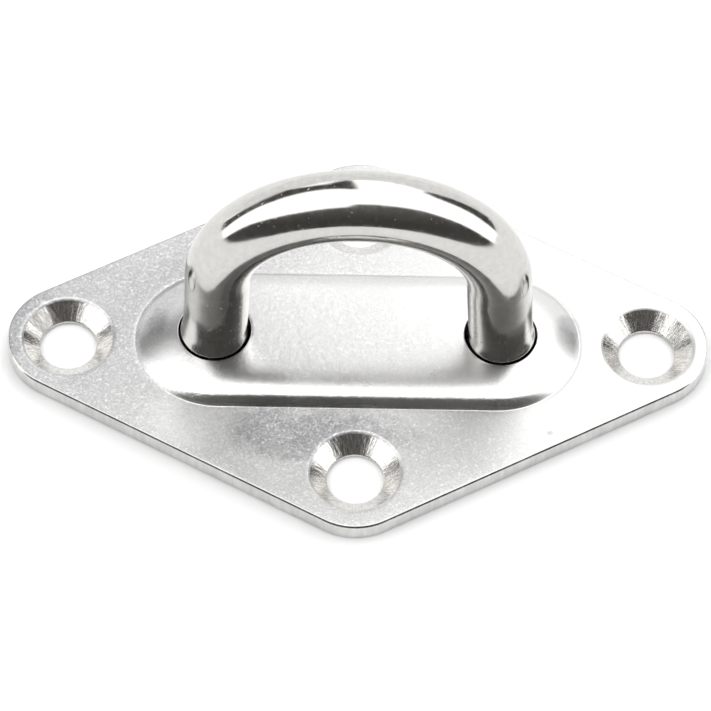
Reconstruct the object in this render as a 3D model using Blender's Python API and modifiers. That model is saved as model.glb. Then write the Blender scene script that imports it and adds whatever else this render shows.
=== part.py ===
"""Diamond pad eye: a pressed plate with a raised pan and a bow of round bar welded through it.

Run with: blender --background --python part.py
Units are metres. +Z points up off the deck, +X runs along the plate's long diagonal, and the
origin is the centre of the plate's underside.
"""
from math import acos, atan2, cos, hypot, pi, sin

import bmesh
import bpy

MM = 0.001

# Plate: a rounded diamond of pressed sheet
SHEET = 2.5 * MM                  # thickness of the sheet
SIDE_CENTRE = 35.8 * MM           # centre of the left and right corner arcs
SIDE_RADIUS = 7.7 * MM
TIP_CENTRE = 19.2 * MM            # centre of the front and rear corner arcs
TIP_RADIUS = 7.8 * MM
EDGE_ROUND = 0.4 * MM             # tumbled rounding of the plate's rim

# Pan: the oblong boss pressed up out of the sheet
PAN_RISE = 2.2 * MM               # height of the boss over the flange
PAN_LENGTH = 27.5 * MM            # half length at the foot
PAN_WIDTH = 9.9 * MM              # half width at the foot
PAN_END = 10.4 * MM               # reach of the rounded end at the foot
PAN_TOP_LENGTH = 22.8 * MM        # half length of the flat top
PAN_TOP_WIDTH = 6.5 * MM          # half width of the flat top
PAN_TOP_END = 11.0 * MM           # reach of the rounded end at the flat top
RECESS_SHRINK_FOOT = 1.2 * MM     # the recess is smaller than the pan by the bent sheet
RECESS_SHRINK_TOP = 0.5 * MM

# Screw holes: four, countersunk, on the two diagonals
HOLE_X = 36.0 * MM
HOLE_Y = 18.9 * MM
HOLE_RADIUS = 3.5 * MM
SINK_RADIUS = 5.65 * MM
SINK_DEPTH = 1.9 * MM

# Bow: a bent round bar whose legs pass through the pan
BAR_RADIUS = 4.0 * MM
CROWN_SWELL = 1.07                # the bar is a little fuller over the crown
LEG_FOOT_X = 17.7 * MM            # half spacing of the legs in the pan
LEG_TOP_X = 17.15 * MM            # half spacing where the arch starts
LEG_END_Z = 0.4 * MM              # lower ends, just clear of the deck
LEG_STRAIGHT_Z = 4.0 * MM         # the legs stand upright to here, then lean in
ARCH_START_Z = 15.8 * MM
CROWN_Z = 31.8 * MM               # height of the bar's centre at the crown
LEG_HOLE_RADIUS = 4.65 * MM       # clearance hole in the pan

# Welds: a fillet round each leg on the underside of the pan
GAP = 0.3 * MM                    # clearance between neighbouring solids
WELD_REACH = 5.9 * MM             # outer radius against the pan
WELD_FOOT_RADIUS = 4.9 * MM       # outer radius at the lower end
WELD_BOTTOM_Z = 0.6 * MM

FLANGE_TOP = SHEET
PAN_TOP = SHEET + PAN_RISE
WELD_TOP_Z = PAN_TOP - SHEET - GAP

ARC_STEPS = 14                    # points along each corner arc
RING_STEPS = 14                   # points along each quarter of a pan ring
PAN_ROWS = 6                      # rows from the foot of the pan to its flat top
HOLE_STEPS = 40
LEG_POINTS = 4
ARCH_POINTS = 33
BAR_BEVEL_STEPS = 10


def make_material(name, colour, roughness):
    """A metallic material with the colour and roughness of a steel finish."""
    material = bpy.data.materials.new(name)
    material.use_nodes = True
    shader = material.node_tree.nodes["Principled BSDF"]
    shader.inputs["Base Color"].default_value = (*colour, 1.0)
    shader.inputs["Roughness"].default_value = roughness
    shader.inputs["Metallic"].default_value = 1.0
    return material


def add_object(name, mesh, collection, material):
    """Link a mesh as a named object, shaded smooth with its real edges kept sharp."""
    obj = bpy.data.objects.new(name, mesh)
    collection.objects.link(obj)
    mesh.materials.clear()
    mesh.materials.append(material)
    mesh.shade_smooth()
    mesh.set_sharp_from_angle(angle=pi / 6)
    return obj


def mesh_from_curve(name, curve):
    """Turn a curve into a closed mesh and weld its loose caps."""
    holder = bpy.data.objects.new(name + "_curve", curve)
    bpy.context.scene.collection.objects.link(holder)
    bpy.context.view_layer.update()
    evaluated = holder.evaluated_get(bpy.context.evaluated_depsgraph_get())
    mesh = bpy.data.meshes.new_from_object(evaluated)
    mesh.name = name
    bpy.data.objects.remove(holder)
    bpy.data.curves.remove(curve)
    bm = bmesh.new()
    bm.from_mesh(mesh)
    bmesh.ops.remove_doubles(bm, verts=bm.verts, dist=0.001 * MM)
    bm.to_mesh(mesh)
    bm.free()
    return mesh


def add_poly_spline(curve, points, cyclic):
    """Add one straight-segment spline through the points."""
    spline = curve.splines.new("POLY")
    spline.points.add(len(points) - 1)
    for point, place in zip(spline.points, points):
        point.co = (*place, 1.0)
    spline.use_cyclic_u = cyclic
    return spline


def arc(centre_x, centre_y, radius, start, end, steps):
    """Points along a circular arc, both ends included."""
    angles = [start + (end - start) * i / (steps - 1) for i in range(steps)]
    return [(centre_x + radius * cos(a), centre_y + radius * sin(a)) for a in angles]


def diamond_outline():
    """Four corner arcs joined by their common tangents, counter-clockwise."""
    spread = hypot(SIDE_CENTRE, TIP_CENTRE)
    tangent = acos((TIP_RADIUS - SIDE_RADIUS) / spread) - atan2(TIP_CENTRE, SIDE_CENTRE)
    return (
        arc(SIDE_CENTRE, 0, SIDE_RADIUS, -tangent, tangent, ARC_STEPS)
        + arc(0, TIP_CENTRE, TIP_RADIUS, tangent, pi - tangent, ARC_STEPS)
        + arc(-SIDE_CENTRE, 0, SIDE_RADIUS, pi - tangent, pi + tangent, ARC_STEPS)
        + arc(0, -TIP_CENTRE, TIP_RADIUS, pi + tangent, 2 * pi - tangent, ARC_STEPS)
    )


def make_flange(collection, material):
    """The flat diamond with its rim rounded by a curve bevel."""
    curve = bpy.data.curves.new("flange", "CURVE")
    curve.dimensions = "2D"
    curve.fill_mode = "BOTH"
    curve.extrude = SHEET / 2 - EDGE_ROUND
    curve.bevel_depth = EDGE_ROUND
    curve.bevel_resolution = 1
    curve.offset = -EDGE_ROUND
    add_poly_spline(curve, [(x, y, 0.0) for x, y in diamond_outline()], cyclic=True)
    mesh = mesh_from_curve("pad_plate", curve)
    for vertex in mesh.vertices:
        vertex.co.z += SHEET / 2
    return add_object("pad_plate", mesh, collection, material)


def pan_ring(half_length, half_width, end_reach, z):
    """An oblong ring: straight sides between two rounded ends."""
    ring = []
    for side in (1, -1):
        for i in range(2 * RING_STEPS + 1):
            angle = -pi / 2 + pi * i / (2 * RING_STEPS)
            x = half_length - end_reach + end_reach * cos(angle)
            y = half_width * sin(angle)
            ring.append((side * x, side * y, z))
    return ring


def loft(name, rings):
    """A closed solid through equal-sized rings listed from the bottom up."""
    bm = bmesh.new()
    rows = [[bm.verts.new(point) for point in ring] for ring in rings]
    count = len(rings[0])
    for lower, upper in zip(rows, rows[1:]):
        for i in range(count):
            j = (i + 1) % count
            bm.faces.new((lower[i], lower[j], upper[j], upper[i]))
    bm.faces.new(rows[0][::-1])
    bm.faces.new(rows[-1])
    mesh = bpy.data.meshes.new(name)
    bm.to_mesh(mesh)
    bm.free()
    return mesh


def pan_rings(base_z, foot_z, shrink_foot, shrink_top):
    """Rings of the pan from its base, up the foot and over the rounded shoulder."""
    rings = [pan_ring(PAN_LENGTH - shrink_foot, PAN_WIDTH - shrink_foot, PAN_END - shrink_foot, base_z)]
    for row in range(PAN_ROWS):
        turn = pi / 2 * row / (PAN_ROWS - 1)
        inward = 1 - cos(turn)
        shrink = shrink_foot + (shrink_top - shrink_foot) * inward
        rings.append(pan_ring(
            PAN_LENGTH + (PAN_TOP_LENGTH - PAN_LENGTH) * inward - shrink,
            PAN_WIDTH + (PAN_TOP_WIDTH - PAN_WIDTH) * inward - shrink,
            PAN_END + (PAN_TOP_END - PAN_END) * inward - shrink,
            foot_z + PAN_RISE * sin(turn),
        ))
    return rings


def make_cutter(name, mesh, collection, location=(0.0, 0.0, 0.0)):
    """A hidden object that other objects are cut or joined with."""
    obj = bpy.data.objects.new(name, mesh)
    obj.location = location
    obj.display_type = "WIRE"
    obj.hide_render = True
    collection.objects.link(obj)
    return obj


def turned_mesh(name, profile, steps, closed):
    """A profile of (radius, z) points turned about Z with a Screw modifier.

    An open profile starts and ends on the axis. Its points run from the top down the outer side.
    """
    bm = bmesh.new()
    verts = [bm.verts.new((radius, 0.0, z)) for radius, z in profile]
    for first, second in zip(verts, verts[1:]):
        bm.edges.new((first, second))
    if closed:
        bm.edges.new((verts[-1], verts[0]))
    mesh = bpy.data.meshes.new(name + "_profile")
    bm.to_mesh(mesh)
    bm.free()
    holder = bpy.data.objects.new(name + "_profile", mesh)
    bpy.context.scene.collection.objects.link(holder)
    screw = holder.modifiers.new("turn", "SCREW")
    screw.steps = steps
    screw.render_steps = steps
    screw.use_merge_vertices = True
    screw.merge_threshold = 0.001 * MM
    bpy.context.view_layer.update()
    evaluated = holder.evaluated_get(bpy.context.evaluated_depsgraph_get())
    turned = bpy.data.meshes.new_from_object(evaluated)
    turned.name = name
    bpy.data.objects.remove(holder)
    return turned


def add_boolean(obj, name, operation, operand):
    """Add an exact Boolean modifier."""
    boolean = obj.modifiers.new(name, "BOOLEAN")
    boolean.operation = operation
    boolean.object = operand
    boolean.solver = "EXACT"


def make_plate(parts, cutters, material):
    """The pressed plate: flange and pan joined, recess and holes cut."""
    plate = make_flange(parts, material)

    overlap = SHEET / 2
    boss_mesh = loft("pan_boss", pan_rings(FLANGE_TOP - overlap, FLANGE_TOP, 0.0, 0.0))
    boss = make_cutter("pan_boss", boss_mesh, cutters)
    add_boolean(plate, "pan", "UNION", boss)

    recess_mesh = loft("pan_recess", pan_rings(-SHEET, 0.0, RECESS_SHRINK_FOOT, RECESS_SHRINK_TOP))
    recess = make_cutter("pan_recess", recess_mesh, cutters)
    add_boolean(plate, "recess", "DIFFERENCE", recess)

    over = SHEET
    sink_slope = (SINK_RADIUS - HOLE_RADIUS) / SINK_DEPTH
    screw_profile = [
        (0.0, FLANGE_TOP + over),
        (SINK_RADIUS + sink_slope * over, FLANGE_TOP + over),
        (HOLE_RADIUS, FLANGE_TOP - SINK_DEPTH),
        (HOLE_RADIUS, -over),
        (0.0, -over),
    ]
    screw_mesh = turned_mesh("screw_hole", screw_profile, HOLE_STEPS, closed=False)
    places = {"left": (-HOLE_X, 0), "right": (HOLE_X, 0), "front": (0, -HOLE_Y), "rear": (0, HOLE_Y)}
    for side, (x, y) in places.items():
        cutter = make_cutter("screw_hole_" + side, screw_mesh, cutters, (x, y, 0.0))
        add_boolean(plate, "screw_hole_" + side, "DIFFERENCE", cutter)

    leg_profile = [
        (0.0, PAN_TOP + over),
        (LEG_HOLE_RADIUS, PAN_TOP + over),
        (LEG_HOLE_RADIUS, -over),
        (0.0, -over),
    ]
    leg_mesh = turned_mesh("leg_hole", leg_profile, HOLE_STEPS, closed=False)
    for side, x in (("left", -LEG_FOOT_X), ("right", LEG_FOOT_X)):
        cutter = make_cutter("leg_hole_" + side, leg_mesh, cutters, (x, 0.0, 0.0))
        add_boolean(plate, "leg_hole_" + side, "DIFFERENCE", cutter)
    return plate


def bow_centreline():
    """Points of the bar's centre from the left foot over the crown to the right foot."""
    leg = [(LEG_FOOT_X, LEG_END_Z)]
    for i in range(LEG_POINTS):
        share = i / LEG_POINTS
        z = LEG_STRAIGHT_Z + (ARCH_START_Z - LEG_STRAIGHT_Z) * share
        leg.append((LEG_FOOT_X + (LEG_TOP_X - LEG_FOOT_X) * share, z))
    arch = []
    for i in range(ARCH_POINTS):
        angle = pi * i / (ARCH_POINTS - 1)
        arch.append((-LEG_TOP_X * cos(angle), ARCH_START_Z + (CROWN_Z - ARCH_START_Z) * sin(angle)))
    return [(-x, z) for x, z in leg] + arch + leg[::-1]


def make_bow(collection, material):
    """The bent bar, swept along its centreline."""
    curve = bpy.data.curves.new("eye_bow", "CURVE")
    curve.dimensions = "3D"
    curve.bevel_depth = BAR_RADIUS
    curve.bevel_resolution = BAR_BEVEL_STEPS
    curve.use_fill_caps = True
    spline = add_poly_spline(curve, [(x, 0.0, z) for x, z in bow_centreline()], cyclic=False)
    for point in spline.points:
        rise = max(0.0, (point.co.z - ARCH_START_Z) / (CROWN_Z - ARCH_START_Z))
        point.radius = 1 + (CROWN_SWELL - 1) * rise
    mesh = mesh_from_curve("eye_bow", curve)
    return add_object("eye_bow", mesh, collection, material)


def make_weld(side, x, collection, material):
    """The fillet of weld between one leg and the underside of the pan."""
    inner = BAR_RADIUS + GAP
    middle_z = (WELD_TOP_Z + WELD_BOTTOM_Z) / 2
    middle_radius = (WELD_REACH + WELD_FOOT_RADIUS) / 2 + GAP / 2
    profile = [
        (inner, WELD_TOP_Z),
        (WELD_REACH, WELD_TOP_Z),
        (WELD_REACH, WELD_TOP_Z - GAP),
        (middle_radius, middle_z),
        (WELD_FOOT_RADIUS, WELD_BOTTOM_Z),
        (inner, WELD_BOTTOM_Z),
    ]
    mesh = turned_mesh("weld_bead_" + side, profile, HOLE_STEPS, closed=True)
    weld = add_object("weld_bead_" + side, mesh, collection, material)
    weld.location.x = x
    return weld


def main():
    for obj in list(bpy.data.objects):
        bpy.data.objects.remove(obj)
    parts = bpy.data.collections.new("pad_eye")
    cutters = bpy.data.collections.new("pad_eye_cutters")
    bpy.context.scene.collection.children.link(parts)
    bpy.context.scene.collection.children.link(cutters)

    satin_steel = make_material("satin_steel", (0.74, 0.74, 0.73), 0.34)
    polished_steel = make_material("polished_steel", (0.66, 0.66, 0.66), 0.08)
    weld_steel = make_material("weld_steel", (0.45, 0.43, 0.41), 0.45)

    make_plate(parts, cutters, satin_steel)
    make_bow(parts, polished_steel)
    make_weld("left", -LEG_FOOT_X, parts, weld_steel)
    make_weld("right", LEG_FOOT_X, parts, weld_steel)


main()
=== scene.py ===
from math import acos, atan2, cos, exp, hypot, log, pi, radians, sin

import bmesh
import bpy
import numpy as np
from mathutils import Matrix, Vector
from mathutils.geometry import delaunay_2d_cdt


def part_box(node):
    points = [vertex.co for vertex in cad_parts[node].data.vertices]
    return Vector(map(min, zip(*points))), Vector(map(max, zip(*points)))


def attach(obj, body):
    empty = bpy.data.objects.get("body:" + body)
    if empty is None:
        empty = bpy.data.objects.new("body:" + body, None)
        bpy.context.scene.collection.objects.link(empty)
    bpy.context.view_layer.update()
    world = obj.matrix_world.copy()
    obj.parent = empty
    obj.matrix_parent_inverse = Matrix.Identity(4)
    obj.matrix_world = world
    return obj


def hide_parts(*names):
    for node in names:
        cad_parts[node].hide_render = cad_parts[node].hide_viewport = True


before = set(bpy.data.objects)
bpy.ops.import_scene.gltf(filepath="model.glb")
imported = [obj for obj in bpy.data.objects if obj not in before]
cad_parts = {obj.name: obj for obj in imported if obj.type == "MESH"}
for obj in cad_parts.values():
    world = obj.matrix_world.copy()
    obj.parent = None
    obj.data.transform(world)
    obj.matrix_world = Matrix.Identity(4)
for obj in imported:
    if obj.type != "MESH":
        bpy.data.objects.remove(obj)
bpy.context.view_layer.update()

# ---------------------------------------------------------------------------
# Sizes in millimetres. Overall sizes come from the frame.
# ---------------------------------------------------------------------------
MM = 0.001
_, plate_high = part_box("pad_plate")
bow_low, bow_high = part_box("eye_bow")

HALF_LENGTH = plate_high[0] / MM
HALF_WIDTH = plate_high[1] / MM
PAN_TOP = plate_high[2] / MM
BOW_BOTTOM = bow_low[2] / MM
BOW_TOP = bow_high[2] / MM

SHEET = 2.5
PAN_RISE = PAN_TOP - SHEET
SIDE_RADIUS = 7.7       # corner radius at the two ends of the long diagonal
TIP_RADIUS = 7.8        # corner radius at the front and the rear
SIDE_CENTRE = HALF_LENGTH - SIDE_RADIUS
TIP_CENTRE = HALF_WIDTH - TIP_RADIUS

PAN_LENGTH, PAN_WIDTH, PAN_END = 27.5, 9.9, 10.4
WALL_RUN, WALL_BLEND = 0.95, 0.12       # the steep wall's run and the softness of its upper bend
WALL_SLOPE = 0.082 / WALL_BLEND
SHOULDER_RISE, SHOULDER_RUN = 1.01, 1.5
DOME_SLOPE = 0.11
END_SLOPE = 7.5         # run of the slope at the pan's ends
END_POWER = 1.2         # how fast the steep side turns into the gentle end
PAN_INNER = 9.2         # the innermost ring's distance from the foot
PAN_JOINED = 4.4        # rings of the pan up to this far in pass clear of the leg holes
RECESS_LENGTH, RECESS_WIDTH, RECESS_END = 23.4, 6.4, 7.5

HOLE_X, HOLE_Y = 36.0, 18.9
HOLE_RADIUS, SINK_DEPTH = 3.5, 1.9

LEG_X = 17.7
LEG_TOP_X = 17.15       # where the legs meet the arch, leaning in a little
LEG_HOLE_RADIUS = 4.52
BAR_RADIUS = 4.0
CROWN_RADIUS = 4.3
FLARE, FLARE_HEIGHT = 0.3, 1.7          # the bar swells just above the leg hole
FLARE_LOW, FLARE_FULL = 2.2, 3.6        # below the pan's top the swelling fades out again
ARCH_START = 15.8
CROWN_CENTRE = BOW_TOP - CROWN_RADIUS

BEAD_LOW = 0.7
BEAD_REACH = 1.95
BEAD_RIPPLES = 24


# ---------------------------------------------------------------------------
# Mesh drafting
# ---------------------------------------------------------------------------
class Draft:
    """Vertices and faces of one piece, gathered ring by ring in millimetres.

    polar holds a cosine, a sine and a row number for the points of the screw holes, for radial tool marks.
    """

    def __init__(self):
        self.points = []
        self.faces = []
        self.slots = []
        self.polar = {}

    def ring(self, points):
        start = len(self.points)
        self.points.extend(points)
        return list(range(start, start + len(points)))

    def bridge(self, first, second, slot=0):
        count = len(first)
        for i in range(count):
            j = (i + 1) % count
            self.faces.append((first[i], first[j], second[j], second[i]))
            self.slots.append(slot)

    def strip(self, rings, slot=0):
        """Bridge a run of rings and return the index rings."""
        made = [self.ring(points) for points in rings]
        for first, second in zip(made, made[1:]):
            self.bridge(first, second, slot)
        return made

    def cap(self, ring):
        self.faces.append(tuple(ring))
        self.slots.append(0)

    def fill(self, outer, holes, spacing, level, rows=()):
        """Triangulate between an outer ring and holes.

        rows are rings of points laid inside the outer ring; a level grid fills what is inside the last.
        """
        loops = [outer] + holes
        outlines = [np.array([self.points[i][:2] for i in loop]) for loop in loops]
        limit = np.array([point[:2] for point in rows[-1]]) if len(rows) else outlines[0]
        low, high = limit.min(axis=0), limit.max(axis=0)
        grid = []
        row_step = spacing * 0.866
        for row in range(1, int((high[1] - low[1]) / row_step) + 1):
            shift = spacing / 2 if row % 2 else 0.0
            for column in range(int((high[0] - low[0]) / spacing) + 1):
                grid.append((low[0] + column * spacing + shift, low[1] + row * row_step, level))
        grid = np.array(grid)
        keep = inside(grid, limit)
        for outline in outlines[1:]:
            keep &= ~inside(grid, outline)
        for outline in outlines + [limit]:
            keep &= clearance(grid, outline) > 0.6 * spacing
        points = list(map(tuple, grid[keep]))
        for row in rows:
            row = np.array(row)
            keep = np.ones(len(row), bool)
            for outline in outlines[1:]:
                keep &= ~inside(row, outline) & (clearance(row, outline) > 0.15)
            points += list(map(tuple, row[keep]))
        members = [i for loop in loops for i in loop] + self.ring(points)
        flat = [Vector(point) for point in bent([self.points[i] for i in members])]
        edges = []
        start = 0
        for loop in loops:
            count = len(loop)
            edges += [(start + i, start + (i + 1) % count) for i in range(count)]
            start += count
        corners, _, triangles, origins, _, _ = delaunay_2d_cdt(flat, edges, [], 0, 1e-7)
        centres = np.array([np.mean([corners[v] for v in face], axis=0) for face in triangles])
        outer_edge, *hole_edges = [bent([self.points[i] for i in loop]) for loop in loops]
        keep = inside(centres, outer_edge)
        for hole_edge in hole_edges:
            keep &= ~inside(centres, hole_edge)
        for face, wanted in zip(triangles, keep):
            if wanted:
                self.cap(members[origins[v][0]] for v in face)

    def build(self, name, materials):
        """Make the object, with outward normals and smooth shading."""
        mesh = bpy.data.meshes.new(name)
        mesh.from_pydata([(x * MM, y * MM, z * MM) for x, y, z in self.points], [], self.faces)
        for material in materials:
            mesh.materials.append(material)
        if self.polar:
            polar = mesh.attributes.new("polar", "FLOAT_VECTOR", "POINT")
            for index, value in self.polar.items():
                polar.data[index].vector = value
        mesh.polygons.foreach_set("material_index", self.slots)
        bm = bmesh.new()
        bm.from_mesh(mesh)
        bmesh.ops.recalc_face_normals(bm, faces=bm.faces)
        bm.to_mesh(mesh)
        bm.free()
        mesh.shade_smooth()
        obj = bpy.data.objects.new(name, mesh)
        bpy.context.scene.collection.objects.link(obj)
        return obj


def inside(points, outline):
    """Which points lie inside a closed outline."""
    x, y = points[:, 0][:, None], points[:, 1][:, None]
    ax, ay = outline[:, 0][None], outline[:, 1][None]
    bx, by = np.roll(outline[:, 0], -1)[None], np.roll(outline[:, 1], -1)[None]
    crosses = (ay > y) != (by > y)
    rise = np.where(by == ay, 1.0, by - ay)
    left = x < (bx - ax) * (y - ay) / rise + ax
    return np.sum(crosses & left, axis=1) % 2 == 1


def bent(points):
    """Points in plan, drawn in a little towards the centre, by more the further out they are.

    That bows straight rows outwards, so that triangles can't form between three points on one line.
    """
    flat = np.array([point[:2] for point in points])
    return flat * (1 - 1e-5 * np.sum(flat ** 2, axis=1))[:, None]


def clearance(points, outline):
    """Distance from each point to the nearest point of an outline."""
    return np.min(np.linalg.norm(points[:, None, :2] - outline[None], axis=2), axis=1)


def circle(centre_x, centre_y, radius, z, count=96):
    angles = [2 * pi * i / count for i in range(count)]
    return [(centre_x + radius * cos(a), centre_y + radius * sin(a), z) for a in angles]


def diamond(inset, z, arc_steps=26, edge_steps=44):
    """The plate's outline moved inwards: four corner arcs and the straight edges between them."""
    spread = hypot(SIDE_CENTRE, TIP_CENTRE)
    tangent = acos((TIP_RADIUS - SIDE_RADIUS) / spread) - atan2(TIP_CENTRE, SIDE_CENTRE)
    corners = [
        (SIDE_CENTRE, 0.0, SIDE_RADIUS, -tangent, tangent),
        (0.0, TIP_CENTRE, TIP_RADIUS, tangent, pi - tangent),
        (-SIDE_CENTRE, 0.0, SIDE_RADIUS, pi - tangent, pi + tangent),
        (0.0, -TIP_CENTRE, TIP_RADIUS, pi + tangent, 2 * pi - tangent),
    ]
    arcs = []
    for x, y, radius, start, end in corners:
        angles = [start + (end - start) * i / arc_steps for i in range(arc_steps + 1)]
        arcs.append([(x + (radius - inset) * cos(a), y + (radius - inset) * sin(a), z) for a in angles])
    ring = []
    for this, following in zip(arcs, arcs[1:] + arcs[:1]):
        ring += this
        ax, ay, _ = this[-1]
        bx, by, _ = following[0]
        for i in range(1, edge_steps):
            share = i / edge_steps
            ring.append((ax + (bx - ax) * share, ay + (by - ay) * share, z))
    return ring


def oblong(half_length, half_width, reach, z, arc_steps=56, edge_steps=36):
    """An oblong with rounded ends and divided straight sides."""
    ring = []
    for side in (1, -1):
        straight = half_length - reach
        for i in range(arc_steps + 1):
            angle = -pi / 2 + pi * i / arc_steps
            ring.append((side * (straight + reach * cos(angle)), side * half_width * sin(angle), z))
        for i in range(1, edge_steps):
            ring.append((side * straight * (1 - 2 * i / edge_steps), side * half_width, z))
    return ring


def rounded(start_angle, end_angle, centre_a, centre_z, radius, steps):
    """Section points round an arc; angles are measured from the outward direction."""
    angles = [radians(start_angle + (end_angle - start_angle) * i / steps) for i in range(steps + 1)]
    return [(centre_a + radius * cos(a), centre_z + radius * sin(a)) for a in angles]


# ---------------------------------------------------------------------------
# Plate
# ---------------------------------------------------------------------------
def rim_rings():
    """The level top's margin, the eased edge with the side, and the underside's margin."""
    low_round = 0.22
    level = [(0.95, SHEET), (0.6, SHEET), (0.26, SHEET - 0.002)]
    drops = [(0.21, 0.01), (0.185, 0.03), (0.15, 0.074), (0.11, 0.126)]
    drops += [(0.07, 0.18), (0.03, 0.237), (0.008, 0.3)]
    side = [(inset, SHEET - drop) for inset, drop in drops]
    side += [(0.0, SHEET - 0.38), (0.0, 1.7), (0.0, 1.0), (0.0, 0.5)]
    side += [(low_round - a, z) for a, z in rounded(0, -90, 0.0, low_round, low_round, 5)]
    under = [(0.8, 0.0), (1.6, 0.0)]
    return [
        [rim_ring(inset, z) for inset, z in level],
        [rim_ring(inset, z) for inset, z in side],
        [diamond(inset, z) for inset, z in under],
    ]


def rim_ring(inset, z):
    """A ring of the rim, eased less along the two rear edges than along the front ones."""
    eased_height, rear_scale = 0.4, 0.6
    turn_start, turn_run = -5.0, 7.0
    if z < SHEET - eased_height:
        return diamond(inset, z)
    ring = []
    for soft, sharp in zip(diamond(inset, z), diamond(rear_scale * inset, SHEET - rear_scale * (SHEET - z))):
        share = min(1.0, max(0.0, (soft[1] - turn_start) / turn_run))
        ring.append(tuple(a + (b - a) * share for a, b in zip(soft, sharp)))
    return ring


def pan_rise(inward, at_end):
    """Height over the flange at a distance in from the pan's foot.

    The long sides rise steeply and round over into a shallow dome.
    The two ends, where at_end is 1, slope gently.
    """
    bend = log(1 + exp(WALL_RUN / WALL_BLEND)) - log(1 + exp((WALL_RUN - inward) / WALL_BLEND))
    wall = WALL_SLOPE * WALL_BLEND * bend
    shoulder = SHOULDER_RISE * (1 - exp(-inward / SHOULDER_RUN))
    dome = DOME_SLOPE * (inward - inward ** 2 / (2 * PAN_WIDTH))
    side = wall + shoulder + dome
    end = PAN_RISE * (1 - max(0.0, 1 - inward / END_SLOPE) ** 2)
    return side * (1 - at_end) + end * at_end


def pan_ring(inward):
    """The pan's outline moved in from its foot, with its height."""
    reach = PAN_END * (1 - inward / PAN_WIDTH)
    ring = []
    for x, y, _ in oblong(PAN_LENGTH - inward, PAN_WIDTH - inward, reach, 0.0):
        beyond = max(0.0, abs(x) - (PAN_LENGTH - inward - reach))
        ring.append((x, y, SHEET + pan_rise(inward, (beyond / reach) ** END_POWER)))
    return ring


def pan_height(x, y):
    """Height of the pan's surface over a point."""
    low, high = 0.0, 0.99 * PAN_WIDTH
    for _ in range(24):
        middle = (low + high) / 2
        reach = PAN_END * (1 - middle / PAN_WIDTH)
        beyond = max(0.0, abs(x) - (PAN_LENGTH - middle - reach))
        if (beyond / reach) ** 2 + (y / (PAN_WIDTH - middle)) ** 2 > 1:
            high = middle
        else:
            low = middle
    return SHEET + pan_rise(low, min(1.0, (beyond / reach) ** END_POWER))


def pan_steps():
    """Distances in from the foot for the pan's rings, closest together at the foot."""
    rows = 34
    return [PAN_INNER * (row / rows) ** 1.7 for row in range(rows + 1)]


def pan_foot_rings():
    """The level flange and the faint groove pressed round the foot of the pan."""
    section = ((1.2, 0.0), (0.6, 0.0), (0.36, 0.002), (0.26, 0.01), (0.17, 0.022), (0.1, 0.024), (0.04, 0.01))
    return [oblong(PAN_LENGTH + a, PAN_WIDTH + a, PAN_END + a, SHEET - drop) for a, drop in section]


def recess_rings():
    """The hollow under the pan, from the level underside up to its ceiling."""
    margin, step_in, rows = 0.8, 0.9, 12
    mouth = np.array((PAN_LENGTH, PAN_WIDTH, PAN_END))
    ceiling = np.array((RECESS_LENGTH, RECESS_WIDTH, RECESS_END))
    rings = [oblong(*(mouth + margin), 0.0)]
    for row in range(rows + 1):
        share = row / rows
        half_length, half_width, reach = (mouth - step_in) * (1 - share) + ceiling * share
        rings.append(oblong(half_length, half_width, reach, PAN_RISE * (1 - cos(pi * share)) / 2))
    return rings


def screw_hole_sections():
    """(radius, z) of a countersunk hole: rolled mouth, cone, then the short straight land and its foot."""
    roll = [(6.2, 0.0), (6.08, 0.001), (5.97, 0.006), (5.87, 0.02), (5.78, 0.05), (5.69, 0.1), (5.6, 0.17)]
    mouth = [(radius, SHEET - drop) for radius, drop in roll + [(5.52, 0.24)]]
    cone_top, cone_end = mouth[-1], (HOLE_RADIUS + 0.09, SHEET - SINK_DEPTH + 0.02)
    steps = 8
    cone = []
    for i in range(1, steps + 1):
        share = i / steps
        cone.append((
            cone_top[0] + (cone_end[0] - cone_top[0]) * share,
            cone_top[1] + (cone_end[1] - cone_top[1]) * share,
        ))
    land = [(HOLE_RADIUS + 0.02, cone_end[1] - 0.06), (HOLE_RADIUS, cone_end[1] - 0.14), (HOLE_RADIUS, 0.12)]
    foot = [(HOLE_RADIUS + 0.05, 0.04), (HOLE_RADIUS + 0.16, 0.0), (HOLE_RADIUS + 0.9, 0.0)]
    return mouth, cone, land + foot


def add_screw_hole(draft, x, y):
    """A countersunk hole through the plate; returns its rings in the top face and in the underside."""
    mouth, cone, land = screw_hole_sections()
    top = draft.strip([circle(x, y, r, z) for r, z in mouth])
    middle = draft.strip([circle(x, y, r, z) for r, z in cone], 1)
    lower = draft.strip([circle(x, y, r, z) for r, z in land], 1)
    draft.bridge(top[-1], middle[0], 1)
    draft.bridge(middle[-1], lower[0], 1)
    for row, ring in enumerate(top + middle + lower):
        for step, index in enumerate(ring):
            angle = 2 * pi * step / len(ring)
            draft.polar[index] = (cos(angle), sin(angle), (x + 3 * y) / 10 + 0.012 * row)
    return top[0], lower[-1]


def add_leg_hole(draft, x):
    """A clearance hole with a broken edge; returns its rings in the pan's top and in the recess's ceiling."""
    radius = LEG_HOLE_RADIUS
    lip_rings = []
    for wider, drop in ((0.4, 0.0), (0.14, 0.0), (0.06, 0.01), (0.01, 0.04), (0.0, 0.1)):
        lip_rings.append([(a, b, pan_height(a, b) - drop) for a, b, _ in circle(x, 0, radius + wider, 0)])
    wall = [(radius, PAN_RISE + 0.2), (radius + 0.05, PAN_RISE + 0.05), (radius + 0.2, PAN_RISE)]
    wall.append((radius + 0.6, PAN_RISE))
    rings = draft.strip(lip_rings + [circle(x, 0, r, z) for r, z in wall])
    return rings[0], rings[-1]


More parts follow.
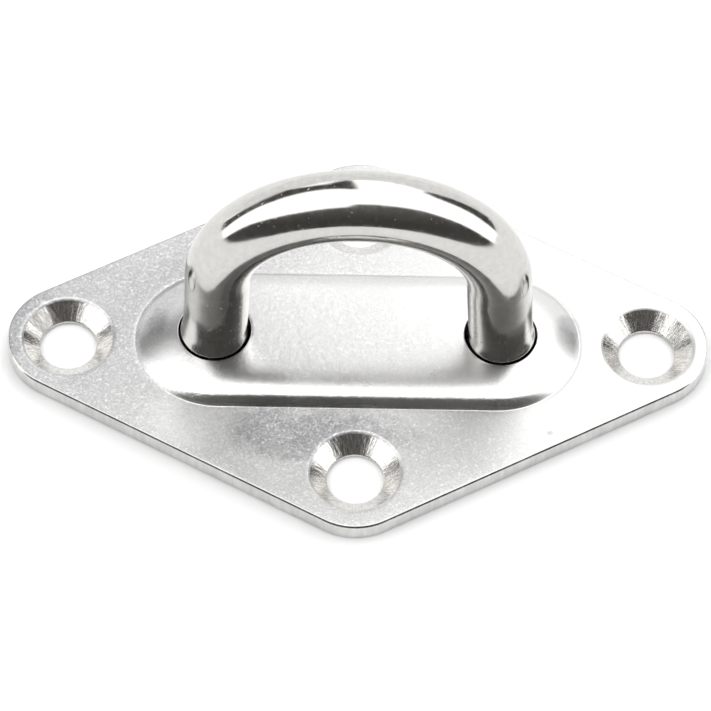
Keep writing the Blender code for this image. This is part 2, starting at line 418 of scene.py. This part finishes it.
def make_plate(materials):
    """The sheet: slot 0 is the satin face, 1 the countersinks and 2 the rim."""
    draft = Draft()
    level, edge, under = rim_rings()
    rim = draft.strip(level)
    side = draft.strip(edge, 2)
    draft.bridge(rim[-1], side[0], 2)
    rim += draft.strip(under)
    draft.bridge(side[-1], rim[len(level)], 2)
    joined = [pan_ring(step) for step in pan_steps() if step < PAN_JOINED]
    loose = [pan_ring(step) for step in pan_steps() if step >= PAN_JOINED]
    pan = draft.strip(pan_foot_rings() + joined)
    recess = draft.strip(recess_rings())

    places = ((-HOLE_X, 0), (HOLE_X, 0), (0, -HOLE_Y), (0, HOLE_Y))
    mouths, feet = zip(*[add_screw_hole(draft, x, y) for x, y in places])
    collars, ceilings = zip(*[add_leg_hole(draft, x) for x in (-LEG_X, LEG_X)])

    draft.fill(rim[0], [pan[0], *mouths], 1.0, SHEET)
    draft.fill(pan[-1], list(collars), 0.9, pan_height(0.0, 0.0), loose)
    draft.fill(rim[-1], [recess[0], *feet], 1.6, 0.0)
    draft.fill(recess[-1], list(ceilings), 1.6, PAN_RISE)
    return draft.build("plate_sheet", materials)


# ---------------------------------------------------------------------------
# Bow
# ---------------------------------------------------------------------------
def bow_path():
    """Points (x, z) of the bar's centre with even spacing, left foot to right foot."""
    leg_steps, arch_steps, rings = 400, 1200, 241
    leg = []
    for i in range(leg_steps):
        z = BOW_BOTTOM + (ARCH_START - BOW_BOTTOM) * i / leg_steps
        lean = max(0.0, (ARCH_START - z) / (ARCH_START - PAN_TOP))
        leg.append((-(LEG_TOP_X + (LEG_X - LEG_TOP_X) * min(1.0, lean)), z))
    angles = [pi * i / arch_steps for i in range(arch_steps + 1)]
    arch = [(-LEG_TOP_X * cos(a), ARCH_START + (CROWN_CENTRE - ARCH_START) * sin(a)) for a in angles]
    fine = np.array(leg + arch + [(-x, z) for x, z in leg[::-1]])
    steps = np.r_[0.0, np.cumsum(np.linalg.norm(np.diff(fine, axis=0), axis=1))]
    even = np.linspace(0.0, steps[-1], rings)
    return np.c_[np.interp(even, steps, fine[:, 0]), np.interp(even, steps, fine[:, 1])]


def bar_radius(z):
    """The bar's radius at a height: a little more at the crown and where it enters the leg hole."""
    rise = max(0.0, (z - ARCH_START) / (CROWN_CENTRE - ARCH_START))
    radius = BAR_RADIUS + (CROWN_RADIUS - BAR_RADIUS) * rise
    flare = max(0.0, 1 - max(0.0, z - PAN_TOP) / FLARE_HEIGHT) ** 2
    if z < FLARE_FULL:
        flare *= max(0.0, (z - FLARE_LOW) / (FLARE_FULL - FLARE_LOW))
    return radius + FLARE * flare


def make_bow(material):
    """One round bar swept along its path, closed at both feet."""
    draft = Draft()
    path = bow_path()
    tangents = np.gradient(path, axis=0)
    tangents /= np.linalg.norm(tangents, axis=1)[:, None]
    around = 96
    rings = []
    for (x, z), (tx, tz) in zip(path, tangents):
        radius = bar_radius(z)
        ring = []
        for i in range(around):
            angle = 2 * pi * i / around
            outward = radius * cos(angle)
            ring.append((x - tz * outward, radius * sin(angle), z + tx * outward))
        rings.append(ring)
    made = draft.strip(rings)
    draft.cap(made[0])
    draft.cap(made[-1])
    return draft.build("eye_bow_bar", [material])


# ---------------------------------------------------------------------------
# Welds
# ---------------------------------------------------------------------------
def make_weld(name, x, turn, material):
    """The rippled bead that holds a leg to the underside of the pan."""
    draft = Draft()
    low, high = BEAD_LOW, PAN_RISE - 0.02
    inner, outer = BAR_RADIUS + 0.03, BAR_RADIUS + BEAD_REACH
    around, across = 288, 12
    rings = []
    for step in range(across + 1):
        share = step / across
        bulge = 0.32 * sin(pi * share)
        ring = []
        for i in range(around):
            angle = 2 * pi * i / around
            lag = 0.22 * (2 * share - 1) ** 2
            ripple = abs(sin(BEAD_RIPPLES / 2 * (angle + turn + lag))) ** 0.6 * sin(pi * share)
            sway = 0.1 * sin(3 * angle + turn) * share
            reach = inner + (outer - inner) * share ** 1.15 + bulge * 0.6 + 0.1 * ripple + sway
            height = low + (high - low) * share ** 0.9 - bulge * 0.5 - 0.1 * ripple
            ring.append((x + reach * cos(angle), reach * sin(angle), height))
        rings.append(ring)
    made = draft.strip(rings + [circle(x, 0, inner, high, around)])
    draft.bridge(made[-1], made[0])
    return draft.build(name, [material])


# ---------------------------------------------------------------------------
# Materials
# ---------------------------------------------------------------------------
class Nodes:
    """Short hands for building one node tree. A value may be a number, a colour or another node's socket."""

    def __init__(self, tree):
        self.tree = tree

    def add(self, kind, inputs=None, **settings):
        node = self.tree.nodes.new(kind)
        for name, value in settings.items():
            setattr(node, name, value)
        for name, value in (inputs or {}).items():
            self.put(node.inputs[name], value)
        return node

    def put(self, socket, value):
        if isinstance(value, bpy.types.NodeSocket):
            self.tree.links.new(value, socket)
        else:
            socket.default_value = value

    def math(self, operation, first, second=0.0, third=0.0, clamp=False):
        node = self.add("ShaderNodeMath", operation=operation, use_clamp=clamp)
        for socket, value in zip(node.inputs, (first, second, third)):
            self.put(socket, value)
        return node.outputs[0]

    def ramp(self, value, low, high, to_low=0.0, to_high=1.0, kind="SMOOTHSTEP"):
        inputs = {"Value": value, "From Min": low, "From Max": high, "To Min": to_low, "To Max": to_high}
        return self.add("ShaderNodeMapRange", inputs, clamp=True, interpolation_type=kind).outputs[0]

    def noise(self, vector, scale, detail=2.0, roughness=0.5):
        inputs = {"Vector": vector, "Scale": scale, "Detail": detail, "Roughness": roughness}
        return self.add("ShaderNodeTexNoise", inputs).outputs["Fac"]

    def place(self):
        """A point's position in metres, and its X, Y and Z."""
        position = self.add("ShaderNodeTexCoord").outputs["Object"]
        return position, self.add("ShaderNodeSeparateXYZ", {"Vector": position}).outputs

    def mix(self, share, first, second, kind="FLOAT"):
        node = self.add("ShaderNodeMix", data_type=kind)
        for name, value in (("Factor", share), ("A", first), ("B", second)):
            sockets = [socket for socket in node.inputs if socket.name == name and socket.enabled]
            self.put(sockets[0], value)
        return [socket for socket in node.outputs if socket.enabled][0]

    def mix_colour(self, share, first, second):
        return self.mix(share, first, second, "RGBA")

    def bump(self, height, distance, strength=1.0):
        inputs = {"Height": height, "Distance": distance, "Strength": strength}
        return self.add("ShaderNodeBump", inputs).outputs[0]


def new_material(name):
    """A bare metal material, the node helper for its tree, and its shader."""
    material = bpy.data.materials.new(name)
    material.use_nodes = True
    shader = material.node_tree.nodes["Principled BSDF"]
    shader.inputs["Metallic"].default_value = 1.0
    return material, Nodes(material.node_tree), shader


def scratches(nodes, position):
    """Sparse fine straight scratches in five directions, 1 where there is one."""
    width, sparse = 0.12 * MM, 0.69
    marks = 0.0
    for turn, length in ((0.5, 1.1), (2.2, 0.9), (1.3, 0.8), (2.9, 1.0), (0.95, 1.3)):
        inputs = {"Vector": position, "Rotation": (0, 0, turn), "Scale": (length * MM, width, length * MM)}
        stretched = nodes.add("ShaderNodeMapping", inputs, vector_type="TEXTURE").outputs[0]
        line = nodes.ramp(nodes.noise(stretched, 1.0, 1.0), sparse, sparse + 0.04)
        marks = nodes.math("ADD", marks, line, clamp=True)
    return marks


def patch(nodes, parts, centre, reach, ragged):
    """A patch with a ragged soft edge, 1 at its middle; centre and reach in millimetres along X and Y."""
    squares = []
    for name, middle, half in zip("XY", centre, reach):
        share = nodes.math("MULTIPLY_ADD", parts[name], 1 / (half * MM), -middle / half)
        squares.append(nodes.math("POWER", nodes.math("ABSOLUTE", share), 2.0))
    spread = nodes.math("ADD", squares[0], squares[1])
    spread = nodes.math("ADD", spread, nodes.math("MULTIPLY_ADD", ragged, 1.2, -0.6))
    return nodes.ramp(spread, 1.0, 0.0)


# Places on the sheet whose colour is darkened, as (centre, reach) in millimetres along X and Y: painted
# shade, except the speck, which is a real dark speck.
SHADE_AND_SPECK_PLACES = {
    "in front of the pan": ((-4.5, -13.9), (13.5, 5.0)),
    "left tip": ((-44.5, 3.0), (9.5, 11.0)),
    "speck": ((23.8, -13.0), (0.55, 0.4)),
    "shaded spot before the pan": ((-10.5, -13.2), (6.5, 5.0)),
    "left end of the pan": ((-25.0, 1.6), (2.2, 3.2)),
    "right end of the pan": ((26.2, 2.4), (1.9, 2.1)),
}
# A patch left of the pan's front whose colour is made lighter: painted light, as (centre, reach) in
# millimetres along X and Y.
PAINTED_LIGHT_PLACE = ((-20.5, -11.5), (7.5, 5.5))


def painted_shade_and_speck(nodes, parts, ragged):
    """How far the sheet's colour is darkened: painted shade in the listed places and gently towards the rear
    left edge, and a real dark speck.
    """
    # painted shade: the colour darkens towards the rear left edge
    rear_left = nodes.math("MULTIPLY_ADD", parts["X"], -0.8, nodes.math("MULTIPLY", parts["Y"], 0.6))
    shade_and_speck = nodes.ramp(rear_left, 8 * MM, 23 * MM, 0.0, 0.5)
    # painted shade in the listed places, and the real speck
    for centre, reach in SHADE_AND_SPECK_PLACES.values():
        shade_and_speck = nodes.math("MAXIMUM", shade_and_speck, patch(nodes, parts, centre, reach, ragged))
    return shade_and_speck


def front_wall(nodes, parts):
    """1 on the straight front wall of the pan, fading out above it, at the ends and behind."""
    off_wall = nodes.math("ABSOLUTE", nodes.math("SUBTRACT", parts["Z"], (SHEET + 0.75) * MM))
    from_middle = nodes.math("ABSOLUTE", parts["X"])
    wall = nodes.ramp(off_wall, 0.3 * MM, 0.75 * MM, 1.0, 0.0)
    wall = nodes.math("MULTIPLY", wall, nodes.ramp(parts["Y"], -7 * MM, -4 * MM, 1.0, 0.0))
    return nodes.math("MULTIPLY", wall, nodes.ramp(from_middle, 19 * MM, 23 * MM, 1.0, 0.0))


def satin_steel():
    """Tumbled stainless sheet: fine grain and light scratches; the pressed pan is a little smoother."""
    material, nodes, shader = new_material("satin_steel")
    position, parts = nodes.place()
    grain = nodes.noise(position, 3300.0, 3.0, 0.65)
    fleck = nodes.noise(position, 2100.0, 2.0, 0.6)
    cloud = nodes.noise(position, 110.0, 2.0, 0.5)
    dents = nodes.noise(position, 750.0, 2.0, 0.6)
    marks = scratches(nodes, position)
    on_pan = nodes.ramp(parts["Z"], SHEET * MM, (SHEET + 0.4) * MM)

    tone = nodes.ramp(grain, 0.34, 0.66, 0.0, 0.36)
    tone = nodes.math("ADD", tone, nodes.ramp(cloud, 0.3, 0.7, 0.0, 0.12))
    tone = nodes.math("ADD", tone, nodes.ramp(fleck, 0.6, 0.67, 0.0, 0.5))
    tone = nodes.math("ADD", tone, nodes.math("MULTIPLY", marks, 0.7), clamp=True)
    tone = nodes.mix(nodes.math("MULTIPLY", on_pan, 0.6), tone, 0.45)
    # painted light: towards the right the tone is drawn to a lighter, even value
    painted_light_rightward = nodes.math("MULTIPLY_ADD", parts["Y"], 0.5, parts["X"])
    tone = nodes.mix(nodes.ramp(painted_light_rightward, 4 * MM, 20 * MM, 0.0, 0.8), tone, 0.62)
    # painted light: the tone is raised inside that patch
    painted_light_patch = patch(nodes, parts, *PAINTED_LIGHT_PLACE, dents)
    tone = nodes.mix(painted_light_patch, tone, nodes.math("ADD", tone, 0.45, clamp=True))
    bright = nodes.mix_colour(tone, (0.59, 0.59, 0.585, 1), (0.89, 0.89, 0.88, 1))
    # the darker colour used for the painted shade and the speck
    dull = nodes.mix_colour(tone, (0.31, 0.31, 0.32, 1), (0.78, 0.78, 0.79, 1))
    colour = nodes.mix_colour(painted_shade_and_speck(nodes, parts, dents), bright, dull)
    nodes.put(shader.inputs["Base Color"], colour)

    rough_flange = nodes.ramp(cloud, 0.25, 0.75, 0.37, 0.42)
    rough_pan = nodes.ramp(cloud, 0.25, 0.75, 0.23, 0.29)
    nodes.put(shader.inputs["Roughness"], nodes.mix(on_pan, rough_flange, rough_pan))

    relief = nodes.math("ADD", nodes.math("MULTIPLY", grain, 0.4), nodes.math("MULTIPLY", marks, 0.15))
    relief = nodes.math("ADD", relief, nodes.math("MULTIPLY", dents, nodes.math("MULTIPLY", on_pan, 1.2)))
    drag = nodes.math("ADD", nodes.math("MULTIPLY", dents, 5.0), nodes.math("MULTIPLY", fleck, 3.0))
    relief = nodes.math("ADD", relief, nodes.math("MULTIPLY", drag, front_wall(nodes, parts)))
    nodes.put(shader.inputs["Normal"], nodes.bump(relief, 0.014 * MM, 0.6))
    return material


def edge_steel():
    """The plate's eased and sheared side: smoother, with faint upright lines left by the die.

    It is darker low down, and the narrow lip along the two rear edges is painted near black, a painted dark
    reflection.
    """
    material, nodes, shader = new_material("edge_steel")
    position, parts = nodes.place()
    upright = nodes.add("ShaderNodeMapping", {"Vector": position, "Scale": (1900, 1900, 240)}).outputs[0]
    lines = nodes.noise(upright, 1.0, 2.0, 0.6)
    blotch = nodes.noise(position, 300.0, 2.0, 0.6)
    low = nodes.ramp(parts["Z"], 1.1 * MM, 0.1 * MM)
    at_rear = nodes.ramp(parts["Y"], 0.5 * MM, 3 * MM)
    at_top = nodes.ramp(parts["Z"], (SHEET - 0.3) * MM, (SHEET - 0.15) * MM)
    # painted reflection: the rear lip is coloured near black to stand in for the dark it reflects
    painted_dark_rear_lip = nodes.math("MULTIPLY", at_rear, at_top)
    tone = nodes.math("ADD", nodes.math("MULTIPLY", lines, 0.5), nodes.math("MULTIPLY", blotch, 0.5))
    tone = nodes.math("SUBTRACT", nodes.ramp(tone, 0.3, 0.7), nodes.math("MULTIPLY", low, 0.3), clamp=True)
    colour = nodes.mix_colour(tone, (0.6, 0.595, 0.585, 1), (0.76, 0.76, 0.75, 1))
    colour = nodes.mix_colour(painted_dark_rear_lip, colour, (0.13, 0.13, 0.13, 1))
    nodes.put(shader.inputs["Base Color"], colour)
    nodes.put(shader.inputs["Roughness"], nodes.ramp(blotch, 0.3, 0.7, 0.16, 0.24))
    relief = nodes.math("ADD", nodes.math("MULTIPLY", lines, 0.25), nodes.math("MULTIPLY", blotch, 0.8))
    nodes.put(shader.inputs["Normal"], nodes.bump(relief, 0.03 * MM, 0.4))
    return material


def cut_steel():
    """Machined countersink: bright, slightly warm metal with radial chatter streaks."""
    material, nodes, shader = new_material("cut_steel")
    polar = nodes.add("ShaderNodeAttribute", attribute_name="polar").outputs["Vector"]
    position, _ = nodes.place()
    broad = nodes.noise(polar, 5.0, 1.0, 0.5)
    fine = nodes.noise(polar, 22.0, 3.0, 0.7)
    grain = nodes.noise(position, 3600.0, 2.0)
    tone = nodes.ramp(fine, 0.34, 0.66, 0.0, 0.75)
    tone = nodes.math("ADD", tone, nodes.ramp(grain, 0.35, 0.65, 0.0, 0.25))
    colour = nodes.mix_colour(tone, (0.5, 0.479, 0.448, 1), (0.84, 0.836, 0.825, 1))
    nodes.put(shader.inputs["Base Color"], colour)
    nodes.put(shader.inputs["Roughness"], nodes.ramp(fine, 0.3, 0.7, 0.08, 0.16))
    relief = nodes.math("ADD", nodes.math("MULTIPLY", broad, 0.55), nodes.math("MULTIPLY", fine, 0.24))
    relief = nodes.math("ADD", relief, nodes.math("MULTIPLY", grain, 0.03))
    nodes.put(shader.inputs["Normal"], nodes.bump(relief, 0.12 * MM))
    return material


def polished_steel():
    """Buffed round bar: mirror bright, with faint buffing waves, fine lines and a few pits."""
    material, nodes, shader = new_material("polished_steel")
    position, _ = nodes.place()
    wave = nodes.noise(position, 150.0, 2.0, 0.5)
    haze = nodes.noise(position, 1100.0, 3.0, 0.65)
    pits = nodes.ramp(nodes.noise(position, 2400.0, 1.0), 0.72, 0.77)
    tone = nodes.math("MULTIPLY", nodes.ramp(haze, 0.3, 0.75), 0.8)
    tone = nodes.math("ADD", tone, nodes.math("MULTIPLY", pits, 0.6), clamp=True)
    colour = nodes.mix_colour(tone, (0.58, 0.572, 0.55, 1), (0.67, 0.662, 0.635, 1))
    nodes.put(shader.inputs["Base Color"], colour)
    rough = nodes.math("ADD", nodes.ramp(haze, 0.3, 0.75, 0.1, 0.16), nodes.math("MULTIPLY", pits, 0.3))
    nodes.put(shader.inputs["Roughness"], rough)
    relief = nodes.math("ADD", wave, nodes.math("MULTIPLY", haze, 0.06))
    relief = nodes.math("SUBTRACT", relief, nodes.math("MULTIPLY", pits, 0.04))
    nodes.put(shader.inputs["Normal"], nodes.bump(relief, 0.1 * MM, 0.4))
    return material


def weld_steel():
    """Brushed-off weld bead: dull, with straw and faint blue heat tint in patches."""
    material, nodes, shader = new_material("weld_steel")
    position, _ = nodes.place()
    heat = nodes.noise(position, 420.0, 3.0, 0.6)
    grain = nodes.noise(position, 3000.0, 2.0, 0.6)
    straw = nodes.mix_colour(nodes.ramp(heat, 0.35, 0.6), (0.42, 0.42, 0.44, 1), (0.52, 0.47, 0.37, 1))
    shade = nodes.mix_colour(nodes.ramp(grain, 0.35, 0.7), straw, (0.62, 0.61, 0.59, 1))
    nodes.put(shader.inputs["Base Color"], shade)
    nodes.put(shader.inputs["Roughness"], nodes.ramp(heat, 0.3, 0.7, 0.26, 0.42))
    nodes.put(shader.inputs["Normal"], nodes.bump(grain, 0.04 * MM, 0.5))
    return material


# ---------------------------------------------------------------------------
# Camera, floor and light
# ---------------------------------------------------------------------------
def aim(location, target, roll=0.0):
    """A matrix that looks from one point to another, with a roll about the line of sight."""
    back = (Vector(location) - Vector(target)).normalized()
    pole = Vector((0, 0, 1)) if abs(back.z) < 0.999 else Vector((0, 1, 0))
    right = pole.cross(back).normalized()
    up = back.cross(right)
    turn, lift = cos(roll), sin(roll)
    x_axis = turn * right + lift * up
    y_axis = turn * up - lift * right
    matrix = Matrix((x_axis, y_axis, back)).transposed().to_4x4()
    matrix.translation = Vector(location)
    return matrix


def make_camera():
    """A view from the front, 57 degrees above the deck, with a long lens."""
    distance, elevation, azimuth, roll = 551.0 * MM, radians(56.94), radians(0.135), radians(0.82)
    target = Vector((-0.24 * MM, -0.51 * MM, 0.0))
    back = Vector((sin(azimuth) * cos(elevation), -cos(azimuth) * cos(elevation), sin(elevation)))
    data = bpy.data.cameras.new("camera")
    data.sensor_width = 36.0
    data.lens = 223.9
    data.clip_start = 0.01
    data.clip_end = 20.0
    camera = bpy.data.objects.new("camera", data)
    bpy.context.scene.collection.objects.link(camera)
    camera.matrix_world = aim(target + back * distance, target, roll)
    bpy.context.scene.camera = camera


def edge_over(nodes, azimuth, points):
    """Elevation in degrees of one edge of the tent at an azimuth, from its (azimuth, elevation) points."""
    low, high = EDGE_LOW, 90.0
    curve = nodes.add("ShaderNodeFloatCurve")
    places = [((a + 180) / 360, (e - low) / (high - low)) for a, e in points]
    line = curve.mapping.curves[0]
    line.points[0].location = places[0]
    line.points[1].location = places[-1]
    for place in places[1:-1]:
        line.points.new(*place)
    for point in line.points:
        point.handle_type = "VECTOR"
    curve.mapping.update()
    nodes.put(curve.inputs["Value"], nodes.ramp(azimuth, -180.0, 180.0, kind="LINEAR"))
    return nodes.math("MULTIPLY_ADD", curve.outputs[0], high - low, low)


TENT_WHITE = 1.95
TENT_BACKDROP = 1.08
TENT_SEAM = 0.08
ROOM_LOW, ROOM_HIGH, ROOM_TWICE = 0.068, 0.15, 0.09
ROOM_TINT = (1.0, 0.96, 0.91, 1)
SECOND_BOUNCE = 2.5     # the background counts one step beyond the bounces themselves

# Edges of the tent as (azimuth, elevation) in degrees; azimuth 0 is the front, where the camera looks in.
# An edge at EDGE_LOW has nothing below it.
EDGE_LOW = -10.0
OPENING = [
    (-180, EDGE_LOW), (-77, -8), (-73, 0), (-67, 16), (-50, 30), (-31, 43), (-15, 49.5), (-9, 51), (-7, 60),
    (15, 60), (38, 54), (53, 45), (66, 22), (71, 0), (75, -8), (180, EDGE_LOW),
]
OPENING_SEEN_TWICE = [
    (-180, EDGE_LOW), (-76, EDGE_LOW), (-68, 5), (-60, 60), (-48, 84),
    (70, 86), (86, 60), (92, 5), (97, EDGE_LOW), (180, EDGE_LOW),
]
LEFT_SEAM_TOP = [
    (-180, 68), (-177, 72), (-165, 71), (-150, 65), (-135, 57), (-120, 47), (-110, 36), (-102, 20), (-97, 8),
    (-90, -8), (180, EDGE_LOW),
]
LEFT_SEAM_BASE = [
    (-180, 84), (-177.5, 76), (-175.5, 33), (-167, 38), (-158, 43), (-146, 38), (-139, 28), (-130, 26),
    (-120, 20), (-113, 10), (-108, -8), (180, EDGE_LOW),
]
RIGHT_SEAM_TOP = [
    (-180, EDGE_LOW), (98, -8), (104, 7), (113, 24), (124, 38), (137, 39), (142, 30), (146, -8),
    (180, EDGE_LOW),
]
RIGHT_SEAM_BASE = [(-180, EDGE_LOW), (120, -8), (126, 3), (132, 18), (140, 34), (146, 36), (180, 36)]


def make_world():
    """A white light tent: open to a dim room at the front, with two dark seams towards the back.

    Second reflections, such as the plate seen in the legs, get a wider opening, which keeps them dark.
    """
    world = bpy.data.worlds.new("light_tent")
    world.use_nodes = True
    nodes = Nodes(world.node_tree)
    direction = nodes.add("ShaderNodeTexCoord").outputs["Generated"]
    parts = nodes.add("ShaderNodeSeparateXYZ", {"Vector": direction}).outputs
    front = nodes.math("MULTIPLY", parts["Y"], -1.0)
    azimuth = nodes.math("MULTIPLY", nodes.math("ARCTAN2", parts["X"], front), 180 / pi)
    elevation = nodes.math("MULTIPLY", nodes.math("ARCSINE", parts["Z"]), 180 / pi)
    path = nodes.add("ShaderNodeLightPath").outputs

    def below(points, blur):
        rise = nodes.math("SUBTRACT", edge_over(nodes, azimuth, points), elevation)
        return nodes.ramp(rise, -blur, blur)

    def band(top, base, blur):
        return nodes.math("MULTIPLY", below(top, blur), nodes.math("SUBTRACT", 1.0, below(base, blur)))

    backdrop = nodes.math("MULTIPLY", nodes.ramp(elevation, 38.0, 32.0), nodes.ramp(parts["Y"], 0.3, 0.5))
    level = nodes.mix(backdrop, TENT_WHITE, TENT_BACKDROP)
    level = nodes.mix(band(LEFT_SEAM_TOP, LEFT_SEAM_BASE, 4.0), level, TENT_SEAM)
    level = nodes.mix(band(RIGHT_SEAM_TOP, RIGHT_SEAM_BASE, 3.5), level, TENT_SEAM)
    room = nodes.ramp(elevation, 5.0, 60.0, ROOM_LOW, ROOM_HIGH)
    level_once = nodes.mix(below(OPENING, 3.0), level, room)
    level_twice = nodes.mix(below(OPENING_SEEN_TWICE, 5.0), level, ROOM_TWICE)
    twice = nodes.math("GREATER_THAN", path["Ray Depth"], SECOND_BOUNCE)
    twice = nodes.math("MULTIPLY", twice, path["Is Glossy Ray"])
    level = nodes.mix(twice, level_once, level_twice)
    level = nodes.mix(path["Is Camera Ray"], level, 1.0)
    background = world.node_tree.nodes["Background"]
    colour = nodes.mix_colour(nodes.ramp(level, 0.2, 0.9), ROOM_TINT, (1, 1, 1, 1))
    nodes.put(background.inputs["Color"], colour)
    nodes.put(background.inputs["Strength"], level)
    world.cycles.sampling_method = "NONE"
    bpy.context.scene.world = world


def make_floor():
    """A plain white table whose front edge lies a little way in front of the part."""
    draft = Draft()
    level, front, reach = -0.05, -130, 2500
    corners = [(-reach, front), (reach, front), (reach, reach), (-reach, reach)]
    draft.cap(draft.ring([(x, y, level) for x, y in corners]))
    material, _, shader = new_material("floor_white")
    shader.inputs["Metallic"].default_value = 0.0
    shader.inputs["Roughness"].default_value = 0.9
    shader.inputs["Specular IOR Level"].default_value = 0.0
    shader.inputs["Base Color"].default_value = (0.9, 0.9, 0.9, 1)
    draft.build("floor", [material])


def show(piece, node):
    """Let a piece stand in for its CAD node, on the part's one body."""
    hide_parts(node)
    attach(piece, "root")


show(make_plate([satin_steel(), cut_steel(), edge_steel()]), "pad_plate")
show(make_bow(polished_steel()), "eye_bow")
weld_material = weld_steel()
for side, x, turn in (("left", -LEG_X, 0.0), ("right", LEG_X, 0.4)):
    show(make_weld("weld_ripple_" + side, x, turn, weld_material), "weld_bead_" + side)

make_camera()
make_world()
make_floor()
bpy.context.scene.view_settings.view_transform = "Standard"
